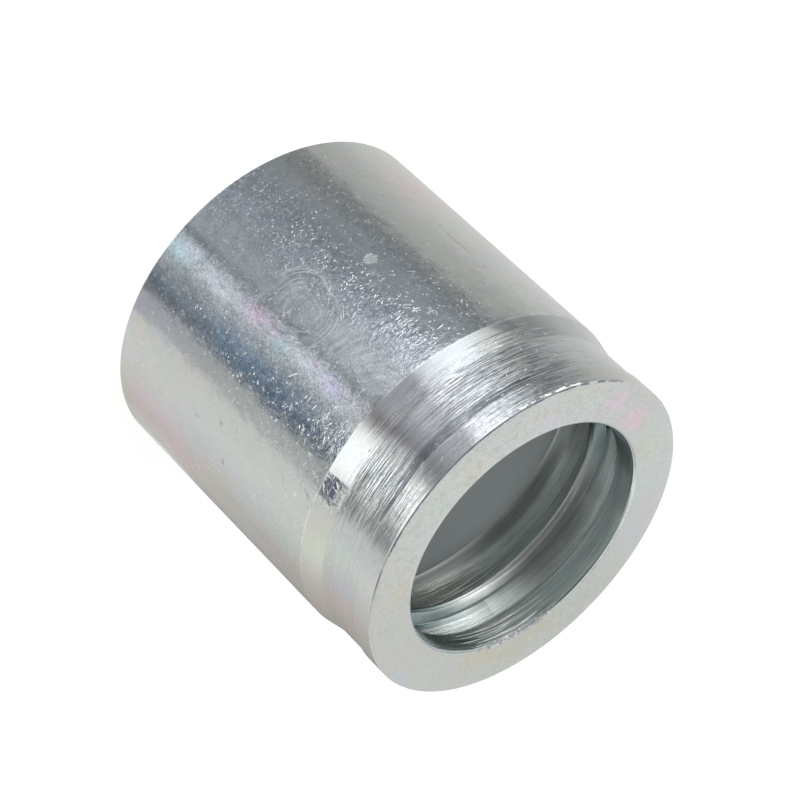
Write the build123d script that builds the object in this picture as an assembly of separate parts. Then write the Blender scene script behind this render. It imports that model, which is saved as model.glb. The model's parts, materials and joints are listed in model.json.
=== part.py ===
from build123d import *
import math
import os

# A crimp ferrule for a wire-braided hydraulic hose: one turned steel sleeve.
# It stands on its hose end. The origin is the centre of that face, +Z points to the fitting end.
# All sizes are in millimetres.

# Body
length = 52.0
outer_radius = 24.0
hose_end_edge_round = 0.3

# Turned zone outside, from the fitting face back towards the hose end
neck_depth = 0.75
neck_width = 6.1
neck_corner_round = 2.5
taper_width = 3.5
rim_height = 0.2
rim_width = 3.3
rim_edge_round = 0.2

# Collar that closes on the fitting
collar_wall = 6.85
collar_land_width = 3.5
mouth_round = 0.3

# Groove behind the collar land: a rounded bottom, then a slope up to the rib
lock_groove_depth = 3.25
lock_groove_front_depth = 2.15
lock_groove_back_depth = 2.05
lock_groove_width = 4.7
lock_groove_bottom_setback = 1.6
lock_groove_slope_width = 2.35
lock_groove_slope_angle = 25.0

# Narrow rib between the two grooves, a little wider inside than the collar land
rib_setback = 0.25
rib_width = 1.1
rib_round = 0.45

# Bore that the hose slides into, with a short lead-in
hose_wall = 3.7
hose_mouth_chamfer = 0.8
hose_mouth_depth = 1.4

# Rounded groove between the rib and the hose bore, that the bore's edge ends
relief_depth = 2.1
relief_front_depth = 0.9
relief_bottom_setback = 3.4
relief_width = 7.6

# Rounding inside
crest_round = 0.25
groove_corner_round = 0.45

# Radii that follow
neck_radius = outer_radius - neck_depth
rim_radius = neck_radius + rim_height
collar_bore_radius = outer_radius - collar_wall
lock_groove_front_radius = collar_bore_radius + lock_groove_front_depth
lock_groove_radius = collar_bore_radius + lock_groove_depth
lock_groove_back_radius = collar_bore_radius + lock_groove_back_depth
lock_groove_slope_rise = lock_groove_slope_width * math.tan(math.radians(lock_groove_slope_angle))
lock_groove_slope_radius = lock_groove_back_radius + lock_groove_slope_rise
rib_radius = collar_bore_radius + rib_setback
hose_bore_radius = outer_radius - hose_wall
relief_front_radius = hose_bore_radius + relief_front_depth
relief_radius = hose_bore_radius + relief_depth
hose_mouth_radius = hose_bore_radius + hose_mouth_chamfer

# Heights above the hose end that follow: the turned zone outside, then the steps of the bore
rim_step_z = length - rim_width
neck_end_z = rim_step_z - neck_width
taper_start_z = neck_end_z - taper_width
land_end_z = length - collar_land_width
lock_groove_bottom_z = land_end_z - lock_groove_bottom_setback
rib_front_z = land_end_z - lock_groove_width
lock_groove_slope_z = rib_front_z + lock_groove_slope_width
rib_back_z = rib_front_z - rib_width
relief_bottom_z = rib_back_z - relief_bottom_setback
relief_end_z = rib_back_z - relief_width


def nearest_corners(face, points):
    """Vertices of a flat face nearest to the given (radius, height) points."""
    def nearest(point):
        return min(face.vertices(), key=lambda corner: (corner.X - point[0]) ** 2 + (corner.Y - point[1]) ** 2)
    return [nearest(point) for point in points]


def round_corners(face, radius, points):
    """The face with the corners at the given points rounded."""
    return fillet(nearest_corners(face, points), radius)


def half_section():
    """Half of the sleeve's section: local X is the radius, local Y the height."""
    outside = [
        (hose_mouth_radius, 0),
        (outer_radius, 0),
        (outer_radius, taper_start_z),
        (neck_radius, neck_end_z),
        (neck_radius, rim_step_z),
        (rim_radius, rim_step_z),
        (rim_radius, length),
        (collar_bore_radius, length),
        (collar_bore_radius, land_end_z),
        (lock_groove_front_radius, land_end_z),
    ]
    rib = [
        (lock_groove_slope_radius, lock_groove_slope_z),
        (lock_groove_back_radius, rib_front_z),
        (rib_radius, rib_front_z),
        (rib_radius, rib_back_z),
        (relief_front_radius, rib_back_z),
    ]
    hose_bore = [
        (hose_bore_radius, relief_end_z),
        (hose_bore_radius, hose_mouth_depth),
        (hose_mouth_radius, 0),
    ]
    face = make_face([
        Polyline(*outside),
        ThreePointArc(outside[-1], (lock_groove_radius, lock_groove_bottom_z), rib[0]),
        Polyline(*rib),
        ThreePointArc(rib[-1], (relief_radius, relief_bottom_z), hose_bore[0]),
        Polyline(*hose_bore),
    ])
    face = round_corners(face, groove_corner_round, [outside[9], rib[1], rib[4]])
    face = round_corners(face, crest_round, [outside[8], hose_bore[0]])
    face = round_corners(face, min(rib_round, 0.45 * rib_width), [rib[2], rib[3]])
    face = round_corners(face, mouth_round, [outside[7]])
    face = round_corners(face, rim_edge_round, [outside[6]])
    face = round_corners(face, neck_corner_round, [outside[3]])
    return round_corners(face, hose_end_edge_round, [outside[1]])


ferrule = revolve(Plane.XZ * half_section(), Axis.Z)

os.makedirs("parts", exist_ok=True)
export_step(ferrule, "parts/ferrule.step")
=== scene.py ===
import bpy
import json
from math import atan2, cos, degrees, pi, radians, sin, tan
from mathutils import Matrix, Vector


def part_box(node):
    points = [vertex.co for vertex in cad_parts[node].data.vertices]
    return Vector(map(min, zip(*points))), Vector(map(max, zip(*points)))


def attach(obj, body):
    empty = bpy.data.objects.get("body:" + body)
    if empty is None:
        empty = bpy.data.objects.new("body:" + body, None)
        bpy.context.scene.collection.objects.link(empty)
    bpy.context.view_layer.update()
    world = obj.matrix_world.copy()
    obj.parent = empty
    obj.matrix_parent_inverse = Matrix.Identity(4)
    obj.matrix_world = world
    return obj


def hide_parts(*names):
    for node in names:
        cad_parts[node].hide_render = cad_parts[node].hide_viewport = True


# A crimp ferrule: one turned and zinc-plated steel sleeve that stands on its hose end.
# Lengths in the tables and names below are millimetres unless a line says otherwise.
# An angle round the sleeve is 0 on the side that faces the camera and grows towards +X.

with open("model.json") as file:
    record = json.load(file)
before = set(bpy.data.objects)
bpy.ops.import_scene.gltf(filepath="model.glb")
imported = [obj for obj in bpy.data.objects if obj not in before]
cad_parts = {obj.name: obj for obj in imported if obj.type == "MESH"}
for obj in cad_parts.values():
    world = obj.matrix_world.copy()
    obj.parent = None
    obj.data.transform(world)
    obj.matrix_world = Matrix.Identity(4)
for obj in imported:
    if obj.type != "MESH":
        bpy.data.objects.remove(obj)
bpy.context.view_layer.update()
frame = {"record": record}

MM = 0.001

# Sizes of the sleeve, read from the frame where it states them
low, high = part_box("ferrule")
outer_radius = (high.x - low.x) / 2 / MM
length = (high.z - low.z) / MM
mounts = {mount["name"]: mount for mount in frame["record"]["mounts"]}
collar_bore_radius = mounts["collar_bore"]["dims"]["r_mm"]
hose_bore_radius = mounts["hose_bore"]["dims"]["r_mm"]

# Turned zone outside, from the fitting face back towards the hose end
neck_depth = 0.75
neck_width = 6.1
taper_width = 3.5
rim_height = 0.2
rim_width = 3.3
rim_step_slant = 0.12

# The collar land, the groove behind it with its slope, the rib, the second groove and the hose mouth
collar_land_width = 3.5
lock_depth = 3.25
lock_front_depth = 2.15
lock_back_depth = 2.05
lock_width = 4.7
lock_bottom_setback = 1.6
lock_slope_width = 2.35
lock_slope_angle = 25
rib_setback = 0.25
rib_width = 1.1
relief_depth = 2.1
relief_front_depth = 0.9
relief_bottom_setback = 3.4
relief_width = 7.6
hose_mouth_chamfer = 0.8
hose_mouth_depth = 1.4

# Rounding of the corners: it takes at most a share of each side, and a bend that is nearly straight,
# by half its angle in degrees, stays as it is
side_share = 0.45
nearly_straight = 89
hose_end_edge_round = 0.1
neck_corner_round = 2.5
rim_edge_round = 0.08
mouth_round = 0.3
crest_round = 0.25
rib_round = 0.45
groove_corner_round = 0.45
step_round = 0.12

# Radii and heights that follow
neck_radius = outer_radius - neck_depth
rim_radius = neck_radius + rim_height
lock_back_radius = collar_bore_radius + lock_back_depth
lock_slope_rise = lock_slope_width * tan(radians(lock_slope_angle))
rib_radius = collar_bore_radius + rib_setback
hose_mouth_radius = hose_bore_radius + hose_mouth_chamfer
rim_step_z = length - rim_width
neck_end_z = rim_step_z - neck_width
taper_start_z = neck_end_z - taper_width
land_end_z = length - collar_land_width
rib_front_z = land_end_z - lock_width
rib_back_z = rib_front_z - rib_width
relief_end_z = rib_back_z - relief_width

# Zones of the surface, each with a finish of its own, and how far apart its rows of points are
BODY, TURNED, FACE, BORE = range(4)
row_spacing = {BODY: 0.6, TURNED: 0.3, FACE: 1, BORE: 1.5}

columns = 400
round_steps = 4
groove_steps = 14


def arc_points(first, through, last):
    """Points between the ends of an arc through three points."""
    a, b, c = (Vector(point) for point in (first, through, last))
    ab, ac = b - a, c - a
    cross = 2 * (ab.x * ac.y - ab.y * ac.x)
    centre = a + Vector((
        (ac.y * ab.length_squared - ab.y * ac.length_squared) / cross,
        (ab.x * ac.length_squared - ac.x * ab.length_squared) / cross,
    ))
    start = atan2(a.y - centre.y, a.x - centre.x)
    end = atan2(c.y - centre.y, c.x - centre.x)
    radius = (a - centre).length
    points = []
    for step in range(1, groove_steps):
        angle = start + (end - start) * step / groove_steps
        points.append((centre.x + radius * cos(angle), centre.y + radius * sin(angle), 0, BORE))
    return points


def section_corners():
    """Corners of the section: radius, height, rounding and zone of the surface up to the next one."""
    land_end = (collar_bore_radius + lock_front_depth, land_end_z)
    lock_bottom = (collar_bore_radius + lock_depth, land_end_z - lock_bottom_setback)
    slope = (lock_back_radius + lock_slope_rise, rib_front_z + lock_slope_width)
    relief_start = (hose_bore_radius + relief_front_depth, rib_back_z)
    relief_bottom = (hose_bore_radius + relief_depth, rib_back_z - relief_bottom_setback)
    bore_edge = (hose_bore_radius, relief_end_z)
    return [
        (hose_mouth_radius, 0, step_round, BODY),
        (outer_radius, 0, hose_end_edge_round, BODY),
        (outer_radius, taper_start_z, step_round, TURNED),
        (neck_radius, neck_end_z, neck_corner_round, TURNED),
        (neck_radius, rim_step_z, step_round, TURNED),
        (rim_radius, rim_step_z + rim_step_slant, step_round, TURNED),
        (rim_radius, length, rim_edge_round, FACE),
        (collar_bore_radius, length, mouth_round, BORE),
        (collar_bore_radius, land_end_z, crest_round, BORE),
        (*land_end, groove_corner_round, BORE),
        *arc_points(land_end, lock_bottom, slope),
        (*slope, 0, BORE),
        (lock_back_radius, rib_front_z, groove_corner_round, BORE),
        (rib_radius, rib_front_z, rib_round, BORE),
        (rib_radius, rib_back_z, rib_round, BORE),
        (*relief_start, groove_corner_round, BORE),
        *arc_points(relief_start, relief_bottom, bore_edge),
        (*bore_edge, crest_round, BORE),
        (hose_bore_radius, hose_mouth_depth, step_round, BORE),
    ]


def rounded(before, corner, after, radius):
    """Points on the arc that rounds a corner between its two neighbours."""
    here = Vector(corner)
    back = Vector(before) - here
    ahead = Vector(after) - here
    half = back.angle(ahead) / 2
    if half > radians(nearly_straight):
        return [tuple(here)]
    reach = min(radius / tan(half), side_share * back.length, side_share * ahead.length)
    radius = reach * tan(half)
    middle = here + (back.normalized() + ahead.normalized()).normalized() * radius / sin(half)
    start = here + back.normalized() * reach - middle
    end = here + ahead.normalized() * reach - middle
    points = []
    for step in range(round_steps + 1):
        way = start.lerp(end, step / round_steps)
        points.append(tuple(middle + way.normalized() * radius))
    return points


def section():
    """Points of the section as (radius, height, zone), close enough for an even surface."""
    corners = section_corners()
    outline = []
    for index, (radius, height, rounding, zone) in enumerate(corners):
        before = corners[index - 1][:2]
        after = corners[(index + 1) % len(corners)][:2]
        arc = rounded(before, (radius, height), after, rounding) if rounding else [(radius, height)]
        outline += [(*point, zone) for point in arc]
    points = []
    for index, (radius, height, zone) in enumerate(outline):
        here, there = Vector((radius, height)), Vector(outline[(index + 1) % len(outline)][:2])
        pieces = max(1, round((there - here).length / row_spacing[zone]))
        for step in range(pieces):
            points.append((*here.lerp(there, step / pieces), zone))
    return points


def make_ferrule():
    """The sleeve as one closed mesh, turned round Z."""
    rows = section()
    vertices, faces, zones = [], [], []
    for radius, height, _ in rows:
        for column in range(columns):
            angle = 2 * pi * column / columns
            vertices.append((radius * sin(angle) * MM, -radius * cos(angle) * MM, height * MM))
    for row, (_, _, zone) in enumerate(rows):
        start, following = row * columns, (row + 1) % len(rows) * columns
        for column in range(columns):
            beside = (column + 1) % columns
            faces.append((start + column, start + beside, following + beside, following + column))
            zones.append(zone)
    mesh = bpy.data.meshes.new("ferrule_finish")
    mesh.from_pydata(vertices, [], faces)
    mesh.polygons.foreach_set("material_index", zones)
    mesh.polygons.foreach_set("use_smooth", [True] * len(faces))
    mesh.update()
    return placed("ferrule_finish", mesh)


def placed(name, data):
    """A new object in the scene."""
    thing = bpy.data.objects.new(name, data)
    bpy.context.scene.collection.objects.link(thing)
    return thing


class Nodes:
    """Short calls that build one node tree."""

    def __init__(self, owner):
        owner.use_nodes = True
        self.tree = owner.node_tree
        self.tree.nodes.clear()

    def put(self, socket, value):
        """Links a socket to another, or sets its value. Colours come without their alpha."""
        if isinstance(value, bpy.types.NodeSocket):
            self.tree.links.new(value, socket)
        else:
            socket.default_value = (*value, 1) if socket.type == "RGBA" else value

    def add(self, kind, inputs=(), **settings):
        """A node with the given settings and inputs, each input as (name or number, value)."""
        node = self.tree.nodes.new(kind)
        for name, value in settings.items():
            setattr(node, name, value)
        for key, value in inputs:
            self.put(node.inputs[key], value)
        return node

    def math(self, operation, *values):
        return self.add("ShaderNodeMath", enumerate(values), operation=operation).outputs[0]

    def vector(self, operation, *values):
        return self.add("ShaderNodeVectorMath", enumerate(values), operation=operation).outputs[0]

    def tint(self, factor, first, second):
        """A mix of two colours."""
        inputs = [("Factor", factor), (6, first), (7, second)]
        return self.add("ShaderNodeMix", inputs, data_type="RGBA").outputs[2]

    def seen(self):
        """1 for what the camera, a mirror or a glass sees, otherwise 0."""
        path = self.add("ShaderNodeLightPath").outputs
        mirrored = self.math("MAXIMUM", path["Is Camera Ray"], path["Is Glossy Ray"])
        return self.math("MAXIMUM", mirrored, path["Is Transmission Ray"])

    def output(self, kind, shader):
        self.tree.links.new(shader, self.add(kind).inputs["Surface"])


class Surface(Nodes):
    """A metal surface of the sleeve: its coordinates, with the angle in degrees, its colour so far and
    the heights that add up to its bumps."""

    def __init__(self, name, colour):
        self.material = bpy.data.materials.new(name)
        super().__init__(self.material)
        self.colour = colour
        self.heights = []
        texture = self.add("ShaderNodeTexCoord").outputs["Object"]
        self.place = self.scaled(texture, 1 / MM)
        x, y, self.z = self.add("ShaderNodeSeparateXYZ", [(0, self.place)]).outputs
        self.radius = self.reach(self.join(x, y, 0))
        turn = self.math("ARCTAN2", x, self.times(y, -1))
        self.angle = self.times(turn, degrees(1))
        self.flat = self.join(self.times(turn, outer_radius), self.z, 0)

    def join(self, x, y, z):
        return self.add("ShaderNodeCombineXYZ", enumerate((x, y, z))).outputs[0]

    def scaled(self, vector, scale):
        inputs = [(0, vector), ("Scale", scale)]
        return self.add("ShaderNodeVectorMath", inputs, operation="SCALE").outputs[0]

    def reach(self, vector):
        return self.add("ShaderNodeVectorMath", [(0, vector)], operation="LENGTH").outputs["Value"]

    def upward(self, vector):
        return self.add("ShaderNodeSeparateXYZ", [(0, vector)]).outputs["Y"]

    def turned(self, vector, angle):
        inputs = [("Vector", vector), ("Angle", angle)]
        return self.add("ShaderNodeVectorRotate", inputs, rotation_type="Z_AXIS").outputs[0]

    def folded(self, operation, values):
        """The values taken together by an operation, from the first to the last."""
        result = values[0]
        for value in values[1:]:
            result = self.math(operation, result, value)
        return result

    def total(self, *values):
        return self.folded("ADD", values)

    def times(self, *values):
        return self.folded("MULTIPLY", values)

    def most(self, *values):
        return self.folded("MAXIMUM", values)

    def less(self, first, second):
        return self.math("SUBTRACT", first, second)

    def linear(self, value, slope, start):
        return self.math("MULTIPLY_ADD", value, slope, start)

    def blend(self, share, first, second):
        """From the first value to the second as the share goes from 0 to 1."""
        return self.linear(share, self.less(second, first), first)

    def clipped(self, value, top):
        """The value, kept between 0 and the top."""
        return self.math("MINIMUM", self.most(value, 0), top)

    def smooth(self, value, start, end):
        """A soft step from 0 at start to 1 at end."""
        inputs = [("Value", value), ("From Min", start), ("From Max", end)]
        return self.add("ShaderNodeMapRange", inputs, interpolation_type="SMOOTHSTEP").outputs[0]

    def between(self, value, start, end, soft):
        rise = self.smooth(value, start - soft, start + soft)
        return self.times(rise, self.smooth(value, end + soft, end - soft))

    def ramp(self, value, stops):
        """A strength or a colour that goes with a value, from a table of them by value."""
        first, *_, last = stops
        share = self.add("ShaderNodeMapRange", [("Value", value), ("From Min", first), ("From Max", last)])
        node = self.add("ShaderNodeValToRGB", [(0, share.outputs[0])])
        elements = node.color_ramp.elements
        elements.remove(elements[1])
        for index, (place, level) in enumerate(stops.items()):
            element = elements.new((place - first) / (last - first)) if index else elements[0]
            element.color = (*level, 1) if isinstance(level, tuple) else (level, level, level, 1)
        return node.outputs["Color"]

    def noise(self, scale, detail=2, rough=0.5, vector=None, warp=0):
        """Noise of about 0.5, with features 1/scale mm wide."""
        inputs = [("Scale", scale), ("Detail", detail), ("Roughness", rough), ("Distortion", warp)]
        inputs.append(("Vector", vector or self.place))
        return self.add("ShaderNodeTexNoise", inputs).outputs["Fac"]

    def patches(self, scale, start, end, detail=2, rough=0.5, warp=0):
        """Where a noise lies above a level, with a soft edge from start to end."""
        return self.smooth(self.noise(scale, detail, rough, warp=warp), start, end)

    def lines(self, across, along, detail=2, rough=0.6):
        """A noise drawn out into long marks round the sleeve."""
        return self.noise(1, detail, rough, self.vector("MULTIPLY", self.place, (across, across, along)))

    def frayed(self, value, noise, amount):
        """A value that a noise makes ragged."""
        return self.linear(self.less(noise, 0.5), amount, value)

    def away_from(self, angle, height):
        """The way to each point from one point of the outside, on the unrolled girth."""
        return self.vector("SUBTRACT", self.flat, (radians(angle) * outer_radius, height, 0))

    def oval(self, offset, half_wide, half_high, depth, edge):
        """1 inside an oval round the start of an offset, and 0 outside it."""
        reach = self.reach(self.vector("DIVIDE", offset, (half_wide, half_high, depth)))
        return self.smooth(reach, 1, edge)

    def spot(self, angle, height, half_wide, half_high, lean=0, edge=0.35):
        """One soft patch on the outside, at an angle and a height, with its half sizes in mm."""
        offset = self.turned(self.away_from(angle, height), radians(-lean))
        return self.oval(offset, half_wide, half_high, 1, edge)

    def face_spot(self, angle, radius, half_wide, half_high, lean=0, edge=0.15):
        """The same on the ring face, at an angle and a radius."""
        turn = radians(angle)
        centre = (radius * sin(turn), -radius * cos(turn), length)
        offset = self.turned(self.vector("SUBTRACT", self.place, centre), -turn - radians(lean))
        return self.oval(offset, half_wide, half_high, 100, edge)

    def dashes(self, cell, half_length, half_width, lean, spread, density, shift, edge=0.65, lift=1):
        """Short separate marks, one at most in each cell, each raised on a facet that leans up or down."""
        vector = self.vector("ADD", self.flat, (shift, shift * 1.7, 0))
        inputs = [("Vector", vector), ("Scale", 1 / cell)]
        cells = self.add("ShaderNodeTexVoronoi", inputs, voronoi_dimensions="2D").outputs
        offset = self.vector("SUBTRACT", vector, cells["Position"])
        first, second, third = self.add("ShaderNodeSeparateColor", [(0, cells["Color"])]).outputs
        turn = self.linear(first, radians(spread), radians(-lean - spread / 2))
        size = self.linear(second, 0.8, 0.5)
        half = self.join(self.times(size, half_length), half_width, 1)
        mark = self.smooth(self.reach(self.vector("DIVIDE", self.turned(offset, turn), half)), 1, edge)
        mark = self.times(mark, self.math("LESS_THAN", third, density))
        slope = self.linear(self.math("FRACT", self.times(third, 17)), -0.45, 0.02)
        self.lift(mark, self.upward(offset), slope, lift)
        return mark

    def paint(self, colour, *strengths):
        """Lays a colour over the metal, as strongly as the product of the strengths."""
        self.colour = self.tint(self.times(*strengths), self.colour, colour)

    def shade(self, noise, *contrasts):
        """Makes the metal lighter and darker by a noise."""
        shade = self.linear(self.less(noise, 0.5), self.times(*contrasts), 1)
        self.colour = self.scaled(self.colour, shade)

    def films(self, rows, *strengths):
        """Paints soft patches, from rows of angle, height, half width, half height, colour and strength."""
        for angle, height, wide, high, colour, strength in rows:
            self.paint(colour, self.spot(angle, height, wide, high, edge=0), *strengths, strength)

    def lift(self, *factors):
        """Raises the surface by the product of the factors, in mm."""
        self.heights.append(self.times(*factors))

    def bumps(self, noise, *depths):
        """Raises and lowers the surface by a noise."""
        self.lift(self.less(noise, 0.5), *depths)

    def rim_burr(self, near_edge):
        """A torn edge round the rim, painted as a bright highlight on the sides where it catches the light.
        """
        lit = self.total(self.between(self.angle, -49, -9, 1.5), self.between(self.angle, 9, 24, 1.5))
        burr = self.times(near_edge, lit, self.patches(0.7, 0.38, 0.5, 3))
        self.paint(bright, burr, 0.8)
        return burr

    def finish(self, roughness, anisotropy=0):
        """The metal with its colour and bumps."""
        heights = [("Height", self.total(*self.heights)), ("Distance", MM), ("Strength", 1)]
        bump = self.add("ShaderNodeBump", heights).outputs[0]
        inputs = [("Metallic", 1), ("Base Color", self.colour), ("Roughness", roughness), ("Normal", bump)]
        shader = self.add("ShaderNodeBsdfPrincipled", inputs)
        if anisotropy:
            shader.inputs["Anisotropic"].default_value = anisotropy
            shader.inputs["Anisotropic Rotation"].default_value = 0.25
            tangent = self.add("ShaderNodeTangent", direction_type="RADIAL", axis="Z")
            self.put(shader.inputs["Tangent"], tangent.outputs[0])
        self.output("ShaderNodeOutputMaterial", shader.outputs[0])
        return self.material


zinc = (0.66, 0.69, 0.69)
dark_zinc = (0.44, 0.49, 0.55)
# White for painted highlights: glints on marks, edges, burrs, crests and turned lines
bright = (1, 1, 0.98)
worn = (0.86, 0.88, 0.9)
# Dark marks, and painted shade in the turned lines, along the rim step and between score lines
dark_marks_and_shade = (0.24, 0.24, 0.24)
pink = (0.86, 0.69, 0.82)
lilac = (0.8, 0.76, 0.95)
cyan = (0.62, 0.81, 0.88)
pearl = (0.86, 0.9, 0.94)
rose = (0.75, 0.655, 0.66)
straw = (0.685, 0.68, 0.57)
green = (0.655, 0.692, 0.655)
blue = (0.665, 0.675, 0.73)
sand = (0.71, 0.675, 0.645)

# Film colours of the plating on the body: angle, height, half width, half height, colour, strength
body_films = [
    (9, 1.5, 2.6, 4.5, cyan, 0.7),
    (6.3, 4, 1.4, 3, pearl, 0.8),
    (8, 10.5, 2.2, 5.5, pearl, 0.9),
    (7, 18.4, 2.3, 6, pink, 1),
    (8.6, 22.8, 1.2, 2.4, cyan, 0.7),
    (6.6, 27.5, 1.7, 4.6, pearl, 0.9),
    (5.2, 28.6, 1, 2.4, pink, 0.7),
    (7, 32.4, 1.9, 4.2, lilac, 1),
    (6, 37, 1.3, 3, pink, 0.4),
    (-2, 15.5, 3, 4, cyan, 0.15),
    (-70, 9.5, 5.5, 8.5, rose, 1),
    (-62, 11, 3, 6, rose, 0.6),
    (-48, 22, 5, 30, green, 0.9),
    (38, 24, 5.5, 32, green, 0.9),
    (54, 10, 3.5, 12, blue, 0.8),
    (60, 8, 4.2, 12, (0.755, 0.645, 0.735), 1),
    (55, 36, 4.5, 11, (0.62, 0.69, 0.68), 0.8),
    (35, 12, 4, 6, rose, 0.35),
    (-70, 2, 5, 5, straw, 0.35),
    (49, 24, 3, 7, blue, 0.5),
    (43, 9, 3.5, 8, (0.645, 0.69, 0.68), 0.7),
    (67, 34, 4.5, 14, sand, 0.9),
    (67, 12, 4, 15, (0.78, 0.64, 0.69), 0.95),
    (75, 18, 4, 8, (0.67, 0.68, 0.52), 1),
    (79, 30, 6, 12, sand, 1),
    (35, 2.5, 1.4, 2, straw, 0.9),
    (37.5, 1.5, 0.9, 2.2, pink, 0.35),
    (41, 0.5, 2, 1.4, cyan, 0.35),
]

# Longer scratches on the body: angle, height, half length, half width, lean, lift in micrometres, paint
# (how strongly a raised one gets a painted highlight and a sunk one a dark mark)
body_scratches = [
    (-58.4, 23.8, 4.8, 0.13, 91, -10, 0.5),
    (-59, 19.6, 0.35, 0.25, 0, -10, 0.35),
    (-58, 28.8, 0.5, 0.22, 80, -10, 0.45),
    (12.4, 27, 1, 0.11, -37, 20, 1),
    (-25.7, 30.7, 0.7, 0.1, -42, 20, 1),
    (-24.8, 31, 0.62, 0.09, -42, 20, 0.9),
    (-35, 26.4, 0.75, 0.08, -32, 20, 0.5),
    (-10.6, 26.2, 1, 0.09, 52, 20, 0.9),
    (-9.4, 26.4, 0.8, 0.09, 55, 20, 0.9),
    (-20.2, 33, 0.62, 0.1, 8, 20, 1),
    (-18.6, 33.5, 0.66, 0.1, 6, 20, 1),
    (-18.5, 20.2, 0.6, 0.1, 5, 20, 0.9),
    (-10.4, 38, 0.8, 0.1, 45, 20, 1),
    (-4, 29.9, 0.75, 0.08, -8, 20, 0.6),
    (19.4, 29.5, 0.6, 0.13, 22, 20, 1),
    (17.3, 29.9, 0.3, 0.14, -40, 20, 1),
    (17.6, 19.4, 0.22, 0.14, 0, 20, 1),
    (14.1, 30.5, 0.35, 0.13, -20, 20, 0.9),
    (21.8, 32.7, 0.42, 0.1, -22, 20, 0.9),
    (16.6, 37.5, 0.5, 0.12, 32, 20, 1),
    (9.6, 34.9, 0.5, 0.1, -25, 20, 0.8),
    (30.8, 21.3, 0.6, 0.09, 5, 20, 0.35),
    (29.2, 26.9, 0.25, 0.22, 0, 20, 0.6),
    (34.8, 37, 1.2, 0.1, 64, 20, 0.35),
    (35.4, 37.6, 1.1, 0.1, 62, -15, 0.7),
    (39.8, 20.8, 0.42, 0.55, 0, -8, 0.35),
    (51.2, 22.6, 0.6, 0.32, 35, -10, 0.5),
    (44.8, 16.4, 0.26, 0.5, 0, -8, 0.35),
    (37.8, 23.8, 0.6, 0.1, 12, -10, 0.35),
    (38.3, 33.4, 0.8, 0.1, 15, -10, 0.3),
    (48.6, 30.8, 0.35, 0.22, 60, -8, 0.35),
    (29.5, 31.2, 0.3, 0.1, 15, -10, 0.5),
    (-66, 35.5, 0.4, 0.2, 20, -10, 0.35),
    (-63, 23.4, 0.35, 0.14, 40, -10, 0.35),
]

# How grainy the body is, by angle
body_grain = {
    -90: 0.13, -46: 0.13, -41: 0.6, -36: 0.6, -32: 0.42, -25: 0.45, -21: 0.85, -11: 0.85, -8: 0.5, 2: 0.5,
    4: 0.8, 10: 0.85, 13: 0.8, 24: 0.72, 27: 0.24, 34: 0.24, 37: 0.12, 90: 0.12,
}

# How closely the body is marked by angle, near the hose end and near the crease
hose_end_marks = {
    -90: 0.01, -42: 0.01, -40: 0.08, -29: 0.06, -23: 0.7, -12: 0.85, -6: 0.3, -3: 0.04, 3: 0.04, 10: 0.1,
    14: 0.18, 23: 0.18, 26: 0.02, 33: 0.01, 90: 0.003,
}
crease_marks = {
    -90: 0.01, -42: 0.01, -40: 0.07, -30: 0.08, -23: 0.42, -18: 1, -11: 1, -9: 0.12, 3: 0.04, 10: 0.07,
    14: 0.11, 23: 0.14, 26: 0.03, 33: 0.01, 90: 0.003,
}

# Film colours of the sides by the level of a wide noise
body_film = {0.3: green, 0.4: blue, 0.46: green, 0.52: straw, 0.58: rose, 0.64: blue, 0.7: green}
turned_film = {0.3: green, 0.44: blue, 0.5: green, 0.56: rose, 0.64: straw, 0.7: green}


def swirl_marks(s):
    """Fine rings left on the body by turning, drawn out towards the hose end, with their lines and an arc
    that get painted highlights.
    """
    offset = s.away_from(-2.6, 22.9)
    heading = s.vector("NORMALIZE", offset)
    upward = s.upward(heading)
    reach = s.math("DIVIDE", s.reach(offset), s.linear(s.smooth(upward, 0.1, -1), 0.8, 1))
    around = s.vector("MULTIPLY", heading, (0.8, 0.8, 0))
    rings = s.noise(1, 2, 0.6, s.vector("ADD", around, s.join(0, 0, s.times(reach, 2.6))))
    fine = s.noise(1, 1, 0.5, s.vector("ADD", around, s.join(7, 0, s.times(reach, 5))))
    inside = s.times(s.smooth(s.less(4.2, reach), -0.1, 0.5), s.smooth(reach, 0.5, 1.6))
    rings = s.times(s.less(rings, 0.5), inside)
    lines = s.times(s.smooth(fine, 0.56, 0.66), inside, s.patches(0.45, 0.36, 0.56))
    arc = s.times(s.between(reach, 4.1, 4.22, 0.1), s.patches(0.4, 0.36, 0.5, 1))
    return rings, lines, s.times(arc, s.linear(s.smooth(upward, -0.2, 0.6), 0.6, 0.4))


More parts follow.
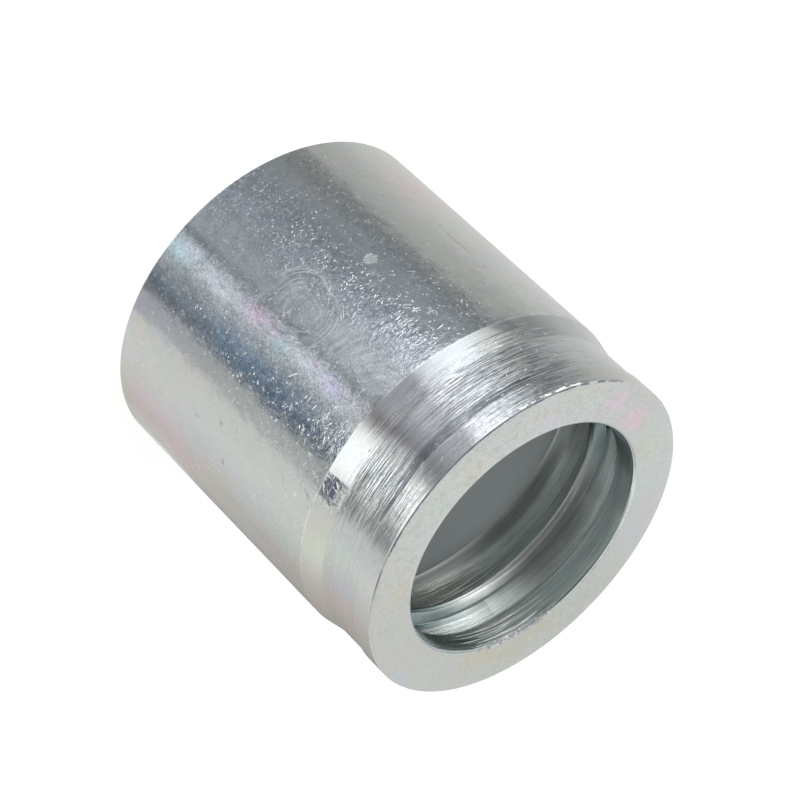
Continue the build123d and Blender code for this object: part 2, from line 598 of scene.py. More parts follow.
def body_metal():
    """The plain outside: drawn tube with rub marks, nicks and scratches with painted highlights, and faint
    film colours.
    """
    s = Surface("zinc_body", zinc)
    wander = s.linear(s.noise(0.22, 3), 9, s.total(s.angle, -4.5))
    near_crease = s.smooth(s.z, 18, 36)
    away = s.smooth(s.math("ABSOLUTE", s.angle), 90, 110)
    old_marks = s.times(away, s.patches(0.1, 0.5, 0.62), 0.5)
    grainy = s.total(s.ramp(s.blend(0.4, s.angle, wander), body_grain), s.times(old_marks, 0.5))
    marked = s.blend(near_crease, s.ramp(wander, hose_end_marks), s.ramp(wander, crease_marks))
    marked = s.total(marked, old_marks)
    side = s.less(1, s.between(s.angle, -44, 34, 4))
    ridge = s.between(s.angle, 3.8, 11.5, 1.2)

    clustered = s.times(marked, s.patches(0.55, 0.38, 0.54))
    often = s.times(clustered, s.blend(near_crease, 0.25, 1.2))
    sharp = s.dashes(1.1, 0.62, 0.1, 8, 90, s.times(clustered, near_crease, 1.6), 0, 0.4)
    second = s.dashes(0.85, 0.46, 0.1, 20, 120, often, 53.3, 0.4)
    small = s.dashes(0.62, 0.26, 0.105, 12, 120, s.times(clustered, 0.75), 31.7, 0.35)
    flecks = s.dashes(1.15, 0.16, 0.13, 0, 180, s.times(grainy, 0.22), 77.3, 0, lift=0.25)
    sharp = s.most(sharp, second)
    rub = s.times(s.patches(2.2, 0.5, 0.66, 3, 0.6, warp=0.8), s.smooth(marked, 0.1, 0.8))
    rub = s.times(rub, s.patches(0.5, 0.32, 0.58))

    speck = s.noise(4, 2, 0.6, warp=1.2)
    clouds = s.noise(1.1, 3, 0.6, warp=0.5)
    scaly = s.lines(1.6, 4.5)
    scaled = s.times(s.smooth(marked, 0.4, 1), near_crease)
    rings, lines, arc = swirl_marks(s)
    ding = s.frayed(s.spot(-28.2, 21.9, 1.25, 1.15, edge=0), s.noise(1.6, 3, 0.7), 1.5)
    ding = s.smooth(ding, 0.14, 0.38)
    ripple_reach = s.times(s.reach(s.away_from(0.5, 38)), 2.4)
    ripple_path = s.vector("MULTIPLY", s.flat, (0.25, 0.25, 0))
    ripple = s.noise(1, 2, 0.6, s.vector("ADD", ripple_path, s.join(0, 0, ripple_reach)))
    rippled = s.times(s.between(wander, -11, -1, 1.5), s.smooth(s.z, 25, 30))

    s.paint(green, side, 0.6)
    s.paint(dark_zinc, s.smooth(clouds, 0.6, 0.36), grainy, 0.8)
    s.paint(dark_zinc, s.smooth(marked, 0.2, 0.8), 0.55)
    s.paint(s.ramp(s.noise(0.09, warp=0.6), body_film), side, 0.4)
    s.films(body_films, s.patches(0.7, 0.2, 0.58, 3, 0.6))
    s.shade(speck, grainy, 2)
    s.shade(s.noise(0.45, warp=0.4), s.linear(grainy, 0.5, 0.05))
    s.shade(scaly, scaled, 0.9)
    s.shade(ripple, rippled, 0.9)
    s.shade(s.total(rings, 0.5), 1.2)
    # Painted highlights on the swirl lines
    s.paint(bright, lines, 0.75)
    s.paint(worn, rub, s.blend(near_crease, 0.6, 0.4))
    s.paint(worn, flecks, 0.4)
    # Painted highlights: glints on the dashes, the swirl arc and the ding
    s.paint(bright, small)
    s.paint(bright, sharp)
    s.paint(bright, arc, 0.8)
    s.paint(bright, ding, s.linear(s.noise(1.8), 1.5, 0.15))
    # Painted highlight along the crease
    crease = s.between(s.z, taper_start_z - 0.16, taper_start_z, 0.05)
    s.paint(bright, crease, s.patches(0.8, 0.42, 0.52), 0.7)

    s.bumps(s.noise(0.35), 0.1)
    s.bumps(s.noise(1.6, 3, 0.6, warp=0.6), grainy, 0.055)
    s.bumps(scaly, scaled, 0.02)
    s.bumps(ripple, rippled, 0.02)
    s.lift(rub, 0.01)
    s.lift(rings, 0.02)
    s.lift(lines, 0.006)
    s.lift(arc, 0.01)
    s.lift(ding, -0.03)
    marks = [sharp, s.times(small, 0.8)]
    # Raised scratches get a painted highlight, sunk ones a dark mark
    for angle, middle, half, wide, lean, lift, paint in body_scratches:
        line = s.spot(angle, middle, half, wide, lean, edge=0.4)
        s.lift(line, lift / 1000)
        s.paint(bright if lift > 0 else dark_marks_and_shade, line, paint)
        if lift > 0:
            marks.append(s.times(line, paint))
    marks = s.most(*marks, s.times(ding, 1.4), arc, rub)
    return s.finish(s.total(s.times(clouds, 0.08), 0.09, s.times(ridge, 0.05), s.times(marks, 0.13)))


# How strongly the turned lines show by angle, on the taper and on the neck and rim, as bumps and as painted
# highlight and shade strokes
taper_lines = {
    -90: 0.08, -66: 0.15, -52: 0.55, -46: 1, -32: 1, -26: 0.75, -18: 0.8, -12: 0.9, 2: 0.75, 7: 0.8,
    11: 0.45, 23: 0.4, 26: 0.7, 34: 0.6, 39: 0.1, 90: 0.05,
}
neck_lines = {
    -90: 0.06, -66: 0.12, -54: 0.3, -44: 0.75, -38: 1, -13: 1, -9: 0.6, -2: 0.3, 3: 0.3, 8: 0.65,
    12: 1, 24: 1, 28: 0.5, 34: 0.3, 38: 0.1, 90: 0.05,
}

# Film colours of the turned zone, in the order of the body's
turned_films = [
    (46, 41.5, 6, 5, (0.66, 0.7, 0.62), 0.6),
    (45, 46, 5, 5, (0.61, 0.69, 0.67), 0.7),
    (48, 41, 5, 2.6, (0.63, 0.69, 0.6), 0.8),
    (56, 46.5, 4.5, 5, (0.635, 0.665, 0.74), 0.9),
    (73, 47, 4.5, 4.5, (0.75, 0.66, 0.66), 0.8),
    (76, 44, 7, 14, (0.72, 0.66, 0.6), 0.9),
    (63, 47, 3, 6, rose, 0.8),
    (-54, 50.2, 3.5, 1.8, straw, 0.6),
    (4, 42, 1.3, 7, (0.52, 0.48, 0.52), 0.8),
]


def turned_metal():
    """The turned zone: fine lines all round, with broken strokes painted as highlight and shade where it
    mirrors bright light, and a painted shadow under the rim step.
    """
    s = Surface("zinc_turned", zinc)
    fine = s.lines(0.16, 6)
    coarse = s.lines(0.12, 3.2)
    strokes = s.lines(0.45, 5.5, detail=1)
    ragged = s.noise(0.9, 3, 0.6)
    mottle = s.noise(1.5, 3, 0.7, warp=0.6)
    on_neck = s.smooth(s.z, neck_end_z - 1, neck_end_z + 0.3)
    on_rim = s.smooth(s.z, rim_step_z - 0.1, rim_step_z + 0.2)
    low_taper = s.linear(s.smooth(s.z, taper_start_z + 0.6, taper_start_z + 2.2), 0.7, 0.3)
    lined = s.blend(on_neck, s.times(s.ramp(s.angle, taper_lines), low_taper), s.ramp(s.angle, neck_lines))
    lined = s.times(lined, s.linear(on_rim, -0.45, 1))
    depth = s.times(s.linear(on_neck, 0.016, 0.026), lined)
    s.bumps(fine, depth)
    s.bumps(coarse, depth, 2)
    s.bumps(strokes, depth, 0.5)

    shadow_start = s.linear(s.noise(0.12, 1), 1.2, rim_step_z - 1.9)
    step_shadow = s.times(
        s.smooth(s.less(s.z, shadow_start), -0.3, 0.4),
        s.smooth(s.z, rim_step_z + 0.1, rim_step_z - 0.3),
        s.between(s.angle, -52, 26, 5),
    )
    s.paint((0.28, 0.31, 0.34), step_shadow, 0.85)
    side = s.smooth(s.math("ABSOLUTE", s.angle), 40, 60)
    s.paint(green, side, 0.5)
    s.paint(s.ramp(s.noise(0.1, warp=0.6), turned_film), side, 0.35)
    s.films(turned_films)
    s.paint((0.3, 0.33, 0.37), s.spot(-43.5, 39.7, 2.6, 1.2, -18, edge=0.4), 0.7)
    s.shade(s.linear(coarse, 0.45, s.times(fine, 0.55)), lined, s.linear(on_neck, 1.8, 0.8))
    # The turned lines painted as highlight and shade strokes
    s.paint(dark_marks_and_shade, s.smooth(fine, 0.44, 0.36), lined, s.linear(on_neck, 0.45, 0.3))
    s.paint(bright, s.smooth(fine, 0.58, 0.66), lined, 0.7)
    s.paint(dark_marks_and_shade, s.smooth(strokes, 0.42, 0.36), lined, s.linear(on_neck, 0.4, 0.3))
    s.paint(bright, s.smooth(strokes, 0.6, 0.66), lined, 0.7)
    s.shade(s.noise(4, 2, 0.6, warp=1), s.linear(lined, 0.9, 0.1))
    s.shade(mottle, lined, s.linear(on_rim, 2, 0.4))
    # Painted shadow: a thin dark line along the foot of the rim step
    step_shadow_line = s.times(s.between(s.z, rim_step_z - 0.22, rim_step_z, 0.06), s.between(s.angle, -34, 24, 8))
    s.paint(dark_marks_and_shade, step_shadow_line, s.smooth(mottle, 0.36, 0.56), 0.8)

    fray = s.linear(s.noise(1.2, 3, 0.7), 1.6, -0.8)
    scuff = s.times(
        s.smooth(s.linear(fray, 0.6, s.angle), 24.6, 25.3),
        s.smooth(s.linear(fray, 7, s.angle), 34.6, 30.6),
        s.smooth(s.z, taper_start_z - 0.02, taper_start_z + 0.15),
        s.smooth(s.linear(fray, 2.2, s.z), taper_start_z + 3.7, taper_start_z + 1.9),
    )
    nicks = s.dashes(0.95, 0.62, 0.13, 62, 70, s.smooth(s.angle, 33.5, 28), 12.1, lift=scuff)
    often = s.times(s.smooth(s.angle, 34, 27), 0.75)
    more = s.dashes(0.75, 0.46, 0.1, 55, 110, often, 91.3, lift=scuff)
    nicks = s.times(scuff, s.most(nicks, more))
    stray = s.dashes(1.6, 0.3, 0.08, 5, 120, s.times(lined, 0.22), 55)
    s.paint((0.07, 0.08, 0.12), scuff, s.smooth(fray, -0.5, -0.2), s.linear(fine, -1.1, 1.45))
    # Painted highlights on the nicks and the stray marks
    s.paint(bright, nicks)
    s.paint(bright, stray, 0.8)

    burr = s.rim_burr(s.smooth(s.frayed(s.z, ragged, 0.7), length - 0.42, length - 0.32))
    tilt = s.times(s.most(s.less(s.z, length - 0.5), 0), s.smooth(s.angle, -18, -26))
    # Painted highlight along the crease
    crease = s.between(s.z, taper_start_z, taper_start_z + 0.18, 0.06)
    s.paint(bright, crease, s.smooth(ragged, 0.42, 0.52), lined)
    s.lift(tilt, burr, -0.35)
    marks = s.most(nicks, stray, s.times(burr, 0.5))
    return s.finish(s.total(s.times(fine, 0.08), 0.12, s.times(marks, 0.3)), anisotropy=0.5)


# Film colours of the plating on the ring face by the level of a wide noise
face_zinc = (0.63, 0.66, 0.635)
face_film = {
    0.3: (0.62, 0.66, 0.62), 0.42: (0.63, 0.655, 0.655), 0.5: (0.63, 0.66, 0.62), 0.57: (0.65, 0.64, 0.625),
    0.64: (0.645, 0.635, 0.65), 0.7: (0.63, 0.66, 0.63),
}

# Patches of film colour on the ring face: angle, radius, half width, half height, colour, strength
face_films = [
    (-86, 19.5, 3.3, 2.5, (0.78, 0.62, 0.69), 0.95),
    (-70, 20.4, 3.1, 2.5, (0.74, 0.63, 0.71), 0.95),
    (-107, 19.5, 3.6, 2.6, (0.6, 0.675, 0.56), 0.8),
    (-130, 20.3, 5, 3, (0.62, 0.655, 0.67), 0.7),
    (-150, 20.8, 5.5, 3, (0.645, 0.645, 0.68), 0.8),
    (-147.5, 22.3, 1.2, 1, (0.71, 0.63, 0.66), 0.8),
    (-172, 20.2, 3.4, 3.2, (0.6, 0.655, 0.61), 0.6),
    (-50, 21.6, 4.5, 2.2, (0.61, 0.67, 0.59), 0.7),
    (-42, 18.6, 3.6, 1.8, (0.66, 0.65, 0.71), 0.8),
    (-7, 19, 2.8, 2.2, (0.67, 0.645, 0.57), 0.7),
    (10, 19.8, 3.5, 2.6, (0.595, 0.67, 0.61), 0.8),
    (27, 18.3, 3.2, 1.7, (0.655, 0.645, 0.7), 0.8),
    (50, 19, 4.5, 2.5, (0.66, 0.64, 0.57), 0.7),
    (65, 20.8, 3.5, 2.2, (0.595, 0.655, 0.62), 0.6),
    (94, 22.6, 3.2, 1, (0.59, 0.68, 0.73), 0.9),
    (130, 18.9, 5, 2.8, (0.67, 0.62, 0.49), 0.8),
    (144, 19.8, 5, 3, (0.65, 0.62, 0.5), 0.6),
    (160, 19, 4, 2.4, (0.665, 0.625, 0.52), 0.7),
    (172, 20.4, 3, 3.2, (0.58, 0.655, 0.61), 0.7),
]

# How bright the ring face is, by angle: painted light towards the front and painted shade towards the back,
# with a little tint
face_shade = {
    -180: 0.91, -160: (0.965, 0.965, 0.985), -140: (1.01, 1.01, 1.03), -110: (1.04, 1.06, 1.085),
    -85: (1.03, 1.03, 1.06), -60: (1.08, 1.09, 1.12), -30: (1.11, 1.12, 1.14), 5: (1.125, 1.145, 1.15),
    30: (1.1, 1.105, 1.095), 60: 1.03, 90: (1, 1, 0.995), 120: 0.965, 150: (0.925, 0.93, 0.925),
    180: 0.91,
}

# Faint lines across the ring face: angle, radius, half length, half width, lean
face_lines = [
    (-76, 21.2, 1.7, 0.07, 78),
    (-136, 20.6, 0.9, 0.06, 88),
    (66, 21.6, 1.6, 0.06, 97),
    (74, 22.6, 0.5, 0.1, 60),
    (-64, 18.6, 0.6, 0.08, 20),
]

# How strongly the ragged mouth shows on the ring face, by angle: its bumps, darker specks and painted
# highlight
mouth_marks_and_highlight = {-180: 0.4, -150: 0.7, -132: 1, -112: 0, 122: 0, 128: 0.8, 150: 0.8, 170: 0.3, 180: 0.4}


def face_metal():
    """The ring face: even and pale, with painted light and shade by angle, a burr round its outer edge with
    a painted highlight and a painted shade line, and one at the mouth with a painted highlight.
    """
    s = Surface("zinc_face", face_zinc)
    fine = s.noise(3, 3, 0.6)
    ragged = s.noise(0.9, 3, 0.6)
    mottle = s.noise(0.8, 3, 0.6, warp=0.5)
    s.paint(s.ramp(s.noise(0.14, warp=0.5), face_film), 0.8)
    for angle, radius, wide, high, film, strength in face_films:
        s.paint(film, s.face_spot(angle, radius, wide, high), strength)
    # Painted light and shade by angle
    s.colour = s.vector("MULTIPLY", s.colour, s.ramp(s.angle, face_shade))
    s.shade(s.noise(4, 2, 0.6, warp=0.8), 0.55)
    s.paint((0.645, 0.64, 0.605), s.smooth(mottle, 0.5, 0.68))
    s.paint((0.6, 0.652, 0.635), s.smooth(mottle, 0.46, 0.3))
    for angle, radius, half, wide, lean in face_lines:
        s.paint((0.4, 0.43, 0.42), s.face_spot(angle, radius, half, wide, lean, edge=0.3), 0.45)

    torn = s.times(s.patches(0.5, 0.46, 0.56, 3), s.between(s.angle, -66, 44, 10))
    # Painted shade: a ragged dark line along the outer edge, under the burr
    edge_shade_line = s.times(
        s.smooth(s.frayed(s.radius, ragged, 0.5), rim_radius - 0.33, rim_radius - 0.24),
        s.most(torn, s.times(s.between(s.angle, -46, 30, 8), 0.8)),
        s.smooth(s.z, length - 0.07, length - 0.03),
    )
    s.paint((0.14, 0.15, 0.22), edge_shade_line, 0.85)
    s.rim_burr(s.smooth(s.z, length - 0.07, length - 0.11))
    mouth = s.smooth(s.frayed(s.radius, ragged, -0.9), collar_bore_radius + 0.66, collar_bore_radius + 0.46)
    mouth = s.times(mouth, s.ramp(s.angle, mouth_marks_and_highlight))
    grit = s.noise(1.3, 3, 0.7)
    gritty = s.times(mouth, s.smooth(grit, 0.5, 0.44))
    # Painted highlight along the mouth, and darker specks in it
    s.paint((0.82, 0.87, 0.96), mouth, s.patches(0.5, 0.4, 0.54), 0.6)
    s.paint((0.1, 0.13, 0.18), gritty, s.between(s.angle, 125, 180, 8))
    s.paint((0.12, 0.15, 0.26), gritty, s.between(s.angle, -185, -152, 6))
    s.bumps(fine, 0.006)
    s.bumps(s.noise(1, 2, 0.6, s.join(s.times(s.radius, 4), s.times(s.angle, 0.02), 0)), 0.003)
    s.bumps(grit, mouth, 0.1)
    return s.finish(s.linear(fine, 0.1, 0.4))


# Colour of the bore by height: its plating, with painted shade in the grooves and at the foot of the rib,
# and painted highlights on the rib and at the edge of the hose bore
land_zinc = (0.76, 0.84, 0.84)
rib_foot_shade = (0.58, 0.64, 0.63)
bore_colours_and_shading = {
    26: (0.595, 0.615, 0.615), relief_end_z - 0.3: (0.79, 0.81, 0.81),
    relief_end_z + 0.15: (0.74, 0.8, 0.76), relief_end_z + 0.35: (0.46, 0.52, 0.52),
    relief_end_z + 1.3: (0.44, 0.49, 0.48), relief_end_z + 3.6: (0.51, 0.56, 0.55),
    rib_back_z - 0.4: (0.8, 0.86, 0.84), rib_back_z: bright, rib_front_z - 0.08: bright,
    rib_front_z: rib_foot_shade, rib_front_z + 0.3: rib_foot_shade, rib_front_z + 0.9: (0.6, 0.65, 0.64),
    land_end_z - 0.4: (0.64, 0.69, 0.68), land_end_z + 0.4: land_zinc, length: land_zinc,
}

# By angle: how steeply the rib's flank stands up in the shading, how strong the painted highlight in the
# second groove is, how much painted shade lies on the rib and its groove, and how dark the edge of the
# mouth is
flank_steepness = {
    -180: 1, -150: 0.97, -134: 0.74, -118: 0.53, 112: 0.47, 120: 0.54, 128: 0.65, 136: 0.77, 144: 0.85,
    152: 0.97, 160: 1, 180: 1,
}
relief_highlight = {
    -180: 0, -155: 0.1, -132: 0.6, -112: 0.7, 112: 1, 140: 0.9, 152: 0.45, 166: 0, 180: 0,
}
rib_shade = {
    -180: 0, -150: 0.05, -136: 0.6, -126: 0.88, -112: 0.97, 108: 0.82, 128: 0.8, 136: 0.66, 144: 0.32,
    152: 0.24, 160: 0.28, 170: 0, 180: 0,
}
lip_darkness = {
    -180: 0.3, -150: 0.2, -140: 0, -126: 0, -114: 0.8, 110: 0.9, 130: 0.8, 160: 0.6, 180: 0.3,
}


def flank_shape(s):
    """How far the shading raises the bore wall towards the rib: its flank, rounded at the crest and at the
    foot, then the crest itself and the bend behind it."""
    inward = s.clipped(s.less(s.radius, rib_radius), 1.8)
    bend = s.math("MINIMUM", inward, rib_round)
    foot = s.most(s.less(inward, 1.5), 0)
    rise = s.total(s.times(bend, bend, 1.11), s.less(inward, bend), s.times(foot, foot, -1.67))
    in_front = s.smooth(s.z, rib_front_z - 0.46, rib_front_z - 0.42)
    s.lift(rise, s.ramp(s.angle, flank_steepness), 1.5, in_front)
    bend = s.clipped(s.less(rib_front_z - 0.15, s.z), 0.35)
    rise = s.total(s.times(bend, bend, 0.93), s.times(s.clipped(s.less(rib_front_z - 0.5, s.z), 0.6), 0.65))
    s.lift(rise, s.smooth(s.radius, rib_radius + 0.5, rib_radius + 0.4))
    back = s.clipped(s.less(rib_back_z - 0.5, s.z), 5)
    s.lift(s.less(back, s.times(back, back, 0.1)), 0.34)


def bore_metal():
    """Inside: turned lines and a greener plating, darker with painted shade in the corners and grooves,
    with painted highlights on the crests and edges.
    """
    s = Surface("zinc_bore", zinc)
    fine = s.lines(0.12, 3.6, detail=3, rough=0.7)
    score = s.lines(0.09, 3.2, detail=1, rough=0.5)
    turned = s.smooth(s.z, relief_end_z - 0.3, relief_end_z + 0.6)
    on_land = s.smooth(s.z, land_end_z + 0.2, land_end_z + 0.7)
    in_relief = s.between(s.z, relief_end_z + 1.5, rib_back_z - 0.3, 0.3)
    scored = s.times(s.smooth(score, 0.52, 0.65), s.between(s.angle, 122, 166, 8))
    scored = s.times(scored, s.most(on_land, s.times(in_relief, 0.5)))
    chips = s.times(s.smooth(s.z, length - 0.7, length - 0.45), s.between(s.angle, 132, 166, 8))
    chips = s.times(chips, s.patches(1.5, 0.5, 0.56, 3, 0.7))
    lobe = s.between(s.angle, 132, 160, 10)

    depth = s.linear(turned, 0.02, 0.003)
    s.bumps(fine, depth, s.linear(on_land, -0.6, 1))
    s.bumps(s.lines(0.1, 1.2), depth, 1.2)
    s.lift(scored, 0.06)
    flank_shape(s)
    s.lift(chips, 0.08)

    s.colour = s.ramp(s.z, bore_colours_and_shading)
    # Painted highlight on the edge of the hose bore
    edge = s.between(s.z, relief_end_z - 0.15, relief_end_z + 0.2, 0.1)
    s.paint(bright, edge, s.between(s.angle, 128, 156, 8), 0.8)
    # Painted highlight in the second groove
    relief = s.between(s.z, relief_end_z + 1.1, rib_back_z - 0.2, 0.5)
    s.paint((1, 0.99, 0.93), relief, s.ramp(s.angle, relief_highlight), 0.9)
    # Painted highlight on the land
    s.paint((0.9, 1, 0.98), on_land, lobe, 0.5)
    # Painted shade on the rib and its groove
    near_flank = s.smooth(s.z, rib_back_z - 0.3, rib_back_z)
    near_flank = s.times(near_flank, s.smooth(s.z, rib_front_z + 1, rib_front_z + 0.5))
    s.paint((0.18, 0.25, 0.26), near_flank, s.ramp(s.angle, rib_shade))
    # Painted highlights on the score lines of the land
    s.paint(bright, on_land, scored)
    lip = s.smooth(s.z, length - 0.36, length - 0.24)
    s.paint((0.34, 0.38, 0.4), lip, s.ramp(s.angle, lip_darkness))
    # Painted highlights on the chips at the mouth
    s.paint(bright, chips)
    s.shade(fine, turned, 0.7)
    # Painted shade between the score lines of the land
    s.paint(dark_marks_and_shade, s.smooth(score, 0.44, 0.38), on_land, s.between(s.angle, 118, 170, 10), 0.6)
    s.shade(s.noise(5, 2, 0.6), 0.12)

    rib = s.between(s.z, rib_back_z, rib_front_z - 0.1, 0.15)
    flank = s.between(s.z, rib_front_z - 0.12, rib_front_z + 0.4, 0.08)
    flank = s.times(flank, s.smooth(s.radius, rib_radius + 0.3, rib_radius + 0.6))
    near_rib = s.between(s.z, rib_back_z - 2.6, rib_back_z - 0.1, 0.8)
    roughness = s.total(s.times(on_land, lobe, 0.16), s.times(fine, 0.08), 0.2, s.times(rib, -0.04))
    roughness = s.total(roughness, s.times(flank, -0.03), s.times(near_rib, 0.12))
    return s.finish(roughness, anisotropy=0.6)


def fade(stops, angle):
    """The value at an angle, from a table of values by angle."""
    start = max(stop for stop in stops if stop <= angle)
    end = min(stop for stop in stops if stop >= angle)
    share = (angle - start) / (end - start) if end > start else 0
    return stops[start] + (stops[end] - stops[start]) * share


def light_card(name, vertices, faces, colours):
    """A card that only mirrors see, with its own light at each corner."""
    mesh = bpy.data.meshes.new(name)
    mesh.from_pydata(vertices, [], faces)
    attribute = mesh.color_attributes.new("light", "FLOAT_COLOR", "POINT")
    for index, colour in enumerate(colours):
        attribute.data[index].color = (*colour, 1)
    card = placed(name, mesh)
    material = bpy.data.materials.new(name)
    nodes = Nodes(material)
    colour = nodes.add("ShaderNodeAttribute", attribute_name="light").outputs["Color"]
    shader = nodes.add("ShaderNodeEmission", [("Color", colour), ("Strength", 1)])
    nodes.output("ShaderNodeOutputMaterial", shader.outputs[0])
    mesh.materials.append(material)
    for ray in ("camera", "diffuse", "shadow", "transmission"):
        setattr(card, "visible_" + ray, False)


def ring_card(name, angles, rings, place):
    """A card of rings round the sleeve, each as (where it is, strengths by angle, tints by angle)."""
    vertices, colours, faces = [], [], []
    for where, strengths, tints in rings:
        for angle in angles:
            vertices.append(tuple(value * MM for value in place(where, radians(angle))))
            colours.append(fade(tints, angle) * fade(strengths, angle))
    across = len(angles)
    for ring in range(len(rings) - 1):
        for step in range(across - 1):
            first = ring * across + step
            faces.append((first, first + 1, first + 1 + across, first + across))
    light_card(name, vertices, faces, colours)


def fan_place(travel, turn):
    """A place low over the floor, on the strip that the side of the sleeve at this angle mirrors."""
    return (
        outer_radius * sin(turn) + travel * sin(2 * turn),
        -outer_radius * cos(turn) - travel * cos(2 * turn),
        fan_height,
    )


def tent_place(elevation, turn):
    """A place on the tent of light, by its elevation and direction seen from the turned zone."""
    rise = radians(elevation)
    return (
        tent_radius * cos(rise) * sin(turn),
        -tent_radius * cos(rise) * cos(turn),
        tent_centre_z + tent_radius * sin(rise),
    )


fan_height = 0.1
tent_radius = 130
tent_centre_z = 45

cool = Vector((0.95, 1, 1.05))
navy = Vector((0.76, 1, 1.3))
warm = Vector((1.03, 1, 0.95))
violet = Vector((0.99, 0.99, 1.06))
plain = Vector((1, 1, 0.985))

# Tint of the light by angle: what the plain cylinder, its hose end and the turned zone mirror
body_tints = {
    -90: plain, -40: plain, -36: Vector((0.93, 1, 1.08)), -24: Vector((0.93, 1, 1.06)), -18: cool,
    14: cool, 18: navy, 23: navy, 26: plain, 56: plain, 66: warm, 90: plain,
}
tip_tints = {
    -90: plain, -37: plain, -30: cool, 17: cool, 20: Vector((0.86, 1, 1.14)),
    25: Vector((0.98, 0.98, 1.04)), 33: Vector((1, 0.98, 1.04)), 36: plain, 66: warm, 72: 1.06 * warm,
    78: 1.22 * plain, 84: 2.2 * plain, 90: 2.4 * plain,
}
turned_tints = {
    -180: plain, -62: plain, -48: cool, -12: violet, 2: violet, 5: Vector((1.02, 0.98, 1.02)), 10: plain,
    24: plain, 28: cool, 36: plain, 66: warm, 180: plain,
}
even_tints = {-180: plain, 180: plain}

# Strength of what each side of the plain cylinder mirrors, near the hose end and near the crease
hose_end_light = {
    -90: 0.9, -84: 0.7, -72: 0.71, -62: 0.68, -54: 0.57, -43.5: 0.48, -42: 0.34, -37: 0.29, -32: 0.34,
    -22: 0.37, -12: 0.48, -9: 0.43, -4: 0.47, 1: 0.45, 2.8: 0.28, 4.5: 0.55, 6: 0.7, 9.5: 0.82, 12: 0.57,
    17: 0.4, 21: 0.25, 24.6: 0.27, 25.6: 0.5, 32.5: 0.56, 33.6: 0.77, 46: 0.82, 56: 0.74, 61: 0.67,
    66: 0.62, 72: 0.6, 78: 0.5, 84: 0.41, 90: 0.55,
}
crease_light = {
    -90: 0.9, -84: 0.72, -72: 0.72, -62: 0.67, -54: 0.53, -43.5: 0.44, -42: 0.3, -38: 0.28, -33: 0.38,
    -22: 0.43, -12: 0.8, -9.5: 0.76, -5: 0.87, 1: 0.52, 2.8: 0.26, 4.5: 0.68, 6.5: 1.02, 9: 0.84, 12: 0.4,
    17: 0.28, 21: 0.13, 24.6: 0.18, 25.6: 0.55, 32.5: 0.61, 33.6: 0.81, 46: 0.85, 56: 0.73, 66: 0.53,
    78: 0.43, 84: 0.32, 90: 0.36,
}

# Strength of what the neck and the rim mirror
neck_light = {
    -90: 0.68, -75: 0.7, -60: 0.58, -51: 0.44, -42: 0.25, -37: 0.26, -30: 0.6, -25: 1.05, -20: 1.6,
    -12: 1.75, -10.8: 0.66, -5: 0.54, 0: 0.36, 4: 0.27, 8: 0.44, 11: 1.3, 17: 1.5, 21: 0.85, 24.2: 0.56,
    25.6: 0.31, 31: 0.29, 35: 0.71, 46: 0.83, 60: 0.64, 70: 0.51, 84: 0.35, 90: 0.35,
}

# Strength of what the taper mirrors, by direction
low_light = {
    -180: 0.9, -130: 0.64, -106: 0.35, -92: 0.29, -82: 0.36, -68: 0.74, -58: 1.12, -48: 1.5, -36: 1.35,
    -27: 1.05, -22: 0.8, -19.5: 0.46, 0: 0.44, 8: 0.34, 12: 0.52, 17: 1.25, 24: 1.5, 36: 1.5, 42: 1.3,
    46: 1.15, 56: 1.05, 60: 0.76, 69: 0.82, 90: 0.92, 120: 0.6, 150: 0.43, 180: 0.76,
}

# The same higher up, which the grooves in the bore mirror through the mouth
middle_light = {
    -180: 0.9, -136: 1.2, -120: 1.45, -104: 1.6, -88: 1.95, -76: 2.3, -64: 2.25, -52: 1.6, -40: 0.85,
    -24: 0.34, -10: 0.14, 40: 0.08, 62: 0.12, 76: 0.24, 92: 0.56, 108: 1.2, 124: 1.6, 150: 1, 180: 0.9,
}
high_light = {
    -180: 0.88, -140: 0.88, -112: 0.45, -90: 0.38, -64: 0.36, -40: 0.24, -22: 0.13, 50: 0.13, 70: 0.2,
    92: 0.4, 112: 0.4, 140: 0.88, 180: 0.88,
}

# Between the two, the ring face mirrors a brighter front when it is seen from behind
front_light = {
    **middle_light, -40: 0.9, -24: 0.5, -10: 0.4, 40: 0.38, 62: 0.36, 76: 0.36, 92: 0.58,
}

floor_colour = (0.8, 0.8, 0.8)
floor_glow = 0.62
room_light = 0.5
# A dim light over the floor inside the hose mouth, which the bore mirrors instead of the floor's glow: it
# stands for the shade there
bore_floor_shade = Vector((0.36, 0.385, 0.38))
bore_floor_height = 0.05
white = (1, 1, 1)


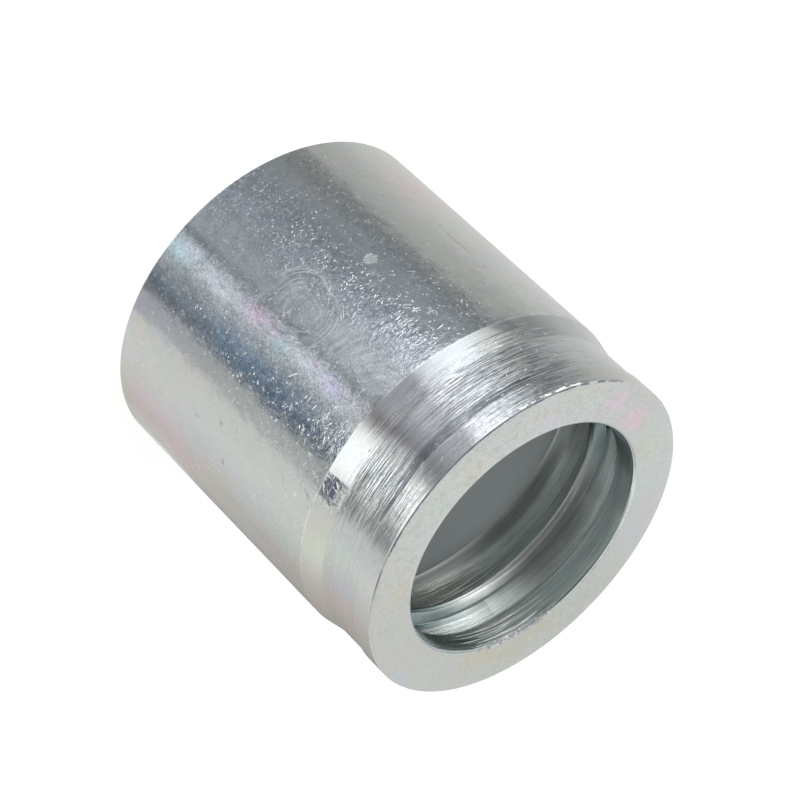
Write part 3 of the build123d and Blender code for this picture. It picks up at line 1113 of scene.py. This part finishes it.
def make_stage():
    """Pale floor, white surroundings, one soft lamp, and the cards that the metal mirrors."""
    bpy.ops.mesh.primitive_plane_add(size=6, location=(0, 0, 0))
    floor = bpy.context.object
    floor.name = "floor"
    material = bpy.data.materials.new("floor")
    nodes = Nodes(material)
    paint = nodes.add("ShaderNodeBsdfDiffuse", [("Color", floor_colour)]).outputs[0]
    lift = nodes.math("MULTIPLY", nodes.seen(), floor_glow)
    glow = nodes.add("ShaderNodeEmission", [("Color", white), ("Strength", lift)]).outputs[0]
    both = nodes.add("ShaderNodeAddShader", [(0, paint), (1, glow)]).outputs[0]
    nodes.output("ShaderNodeOutputMaterial", both)
    floor.data.materials.append(material)

    world = bpy.data.worlds.new("studio")
    bpy.context.scene.world = world
    nodes = Nodes(world)
    strength = nodes.math("MULTIPLY_ADD", nodes.seen(), 1 - room_light, room_light)
    back = nodes.add("ShaderNodeBackground", [("Color", white), ("Strength", strength)])
    nodes.output("ShaderNodeOutputWorld", back.outputs[0])

    lamp_data = bpy.data.lights.new("soft_lamp", "AREA")
    lamp_data.shape = "DISK"
    lamp_data.size = 1.2
    lamp_data.energy = 3
    lamp = placed("soft_lamp", lamp_data)
    lamp.location = (-0.5, -0.5, 1.4)
    lamp.rotation_euler = (-lamp.location).to_track_quat("-Z", "Y").to_euler()
    lamp.visible_glossy = False

    ring_card("floor_fan", range(-90, 91), [
        (0, hose_end_light, tip_tints), (12, hose_end_light, tip_tints), (22, hose_end_light, body_tints),
        (56, crease_light, body_tints), (60, crease_light, turned_tints),
        (64, neck_light, turned_tints), (150, neck_light, turned_tints),
    ], fan_place)
    ring_card("tent", range(-180, 181, 2), [
        (-18, low_light, turned_tints), (4, low_light, turned_tints),
        (8, front_light, even_tints), (11, front_light, even_tints),
        (16, middle_light, even_tints), (26, middle_light, even_tints),
        (32, high_light, even_tints), (90, high_light, even_tints),
    ], tent_place)
    # Dim card over the floor inside the hose mouth, for the shade that the bore mirrors there
    disc = []
    for angle in range(0, 360, 5):
        turn = radians(angle)
        place = (hose_mouth_radius * sin(turn), hose_mouth_radius * cos(turn), bore_floor_height)
        disc.append(tuple(value * MM for value in place))
    light_card("bore_floor", disc, [tuple(range(len(disc)))], [bore_floor_shade] * len(disc))


def make_camera():
    """The photograph's view: from the front and above, turned so that the bore looks down right."""
    place = Vector((0, -318.678, 236.425)) * MM
    aim = Vector((-1.732, -0.079, 25.043)) * MM
    roll = radians(133.755)
    forward = (aim - place).normalized()
    level = forward.cross(Vector((0, 0, 1))).normalized()
    upright = level.cross(forward)
    right = level * cos(roll) + upright * sin(roll)
    up = right.cross(forward)
    data = bpy.data.cameras.new("camera")
    data.lens = 137.25
    data.sensor_width = 36
    data.clip_start = 0.01
    data.clip_end = 20
    camera = placed("camera", data)
    camera.matrix_world = Matrix.Translation(place) @ Matrix((right, up, -forward)).transposed().to_4x4()
    bpy.context.scene.camera = camera


ferrule = make_ferrule()
for material in (body_metal(), turned_metal(), face_metal(), bore_metal()):
    ferrule.data.materials.append(material)
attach(ferrule, "root")
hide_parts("ferrule")
make_stage()
make_camera()
bpy.context.scene.view_settings.view_transform = "Standard"
